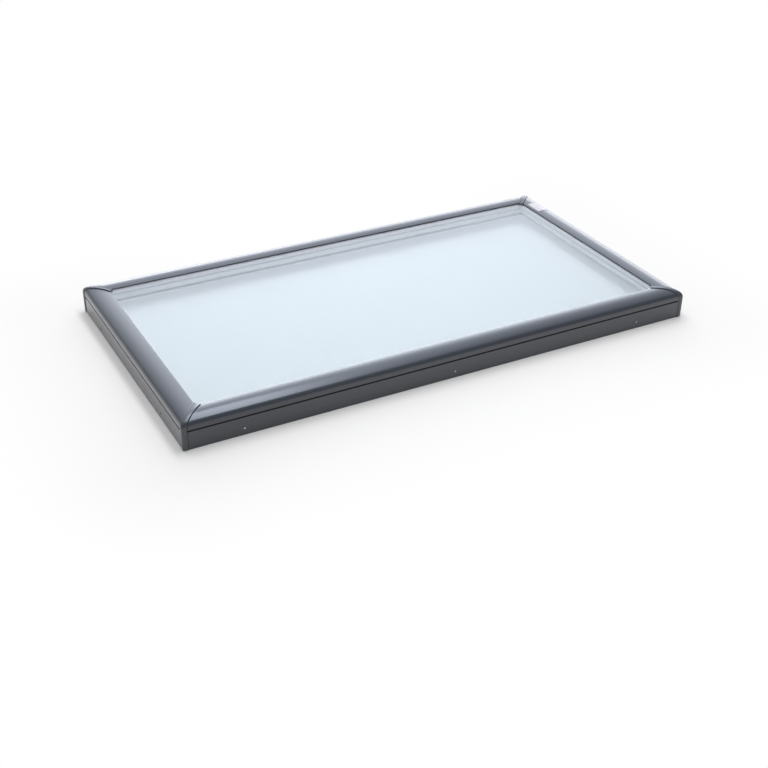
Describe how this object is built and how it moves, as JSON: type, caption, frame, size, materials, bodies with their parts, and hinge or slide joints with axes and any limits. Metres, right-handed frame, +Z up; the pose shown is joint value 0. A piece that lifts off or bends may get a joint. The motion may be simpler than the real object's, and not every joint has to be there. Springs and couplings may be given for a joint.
{
  "type": "roof skylight",
  "caption": "Fixed rectangular roof skylight for a raised curb: sealed double glass in a rounded dark grey metal frame with a skirt, moulded corner keys and a white inner frame.",
  "frame": {"origin": "under the middle of the frame, at the level of the corner keys' feet", "axes": "+X along the long sides, +Y along the short sides from front to back, +Z up, out of the roof"},
  "size_m": [1.309, 0.699, 0.0744],
  "materials": {
    "painted_aluminium": "semi-gloss dark grey baked paint on aluminium",
    "moulded_key": "satin dark grey moulded plastic",
    "white_pvc": "smooth white extruded PVC",
    "seal_foam": "fine-celled pale grey foam",
    "cleat_nylon": "black moulded nylon",
    "clear_glass": "clear coated float glass",
    "spacer_grey": "light grey foam spacer",
    "black_rubber": "matt black rubber",
    "glazing_tape": "white closed-cell foam tape",
    "screw_steel": "plain stainless steel",
    "plate_film": "plain pale satin film plate, no print"
  },
  "bodies": {
    "root": {"cladding_front": "painted_aluminium", "skirt_front": "painted_aluminium", "inner_frame_front": "white_pvc", "curb_seal_front": "seal_foam", "cladding_right": "painted_aluminium", "skirt_right": "painted_aluminium", "inner_frame_right": "white_pvc", "curb_seal_right": "seal_foam", "cladding_back": "painted_aluminium", "skirt_back": "painted_aluminium", "inner_frame_back": "white_pvc", "curb_seal_back": "seal_foam", "cladding_left": "painted_aluminium", "skirt_left": "painted_aluminium", "inner_frame_left": "white_pvc", "curb_seal_left": "seal_foam", "corner_key_front_left": "moulded_key", "corner_cleat_front_left": "cleat_nylon", "corner_key_front_right": "moulded_key", "corner_cleat_front_right": "cleat_nylon", "corner_key_back_right": "moulded_key", "corner_cleat_back_right": "cleat_nylon", "corner_key_back_left": "moulded_key", "corner_cleat_back_left": "cleat_nylon", "outer_pane": "clear_glass", "inner_pane": "clear_glass", "spacer_bar": "spacer_grey", "edge_seal": "black_rubber", "glazing_gasket": "black_rubber", "glazing_tape": "glazing_tape", "setting_blocks": "black_rubber", "skirt_screws": "screw_steel", "blank_plate": "plate_film"}
  },
  "joints": []
}
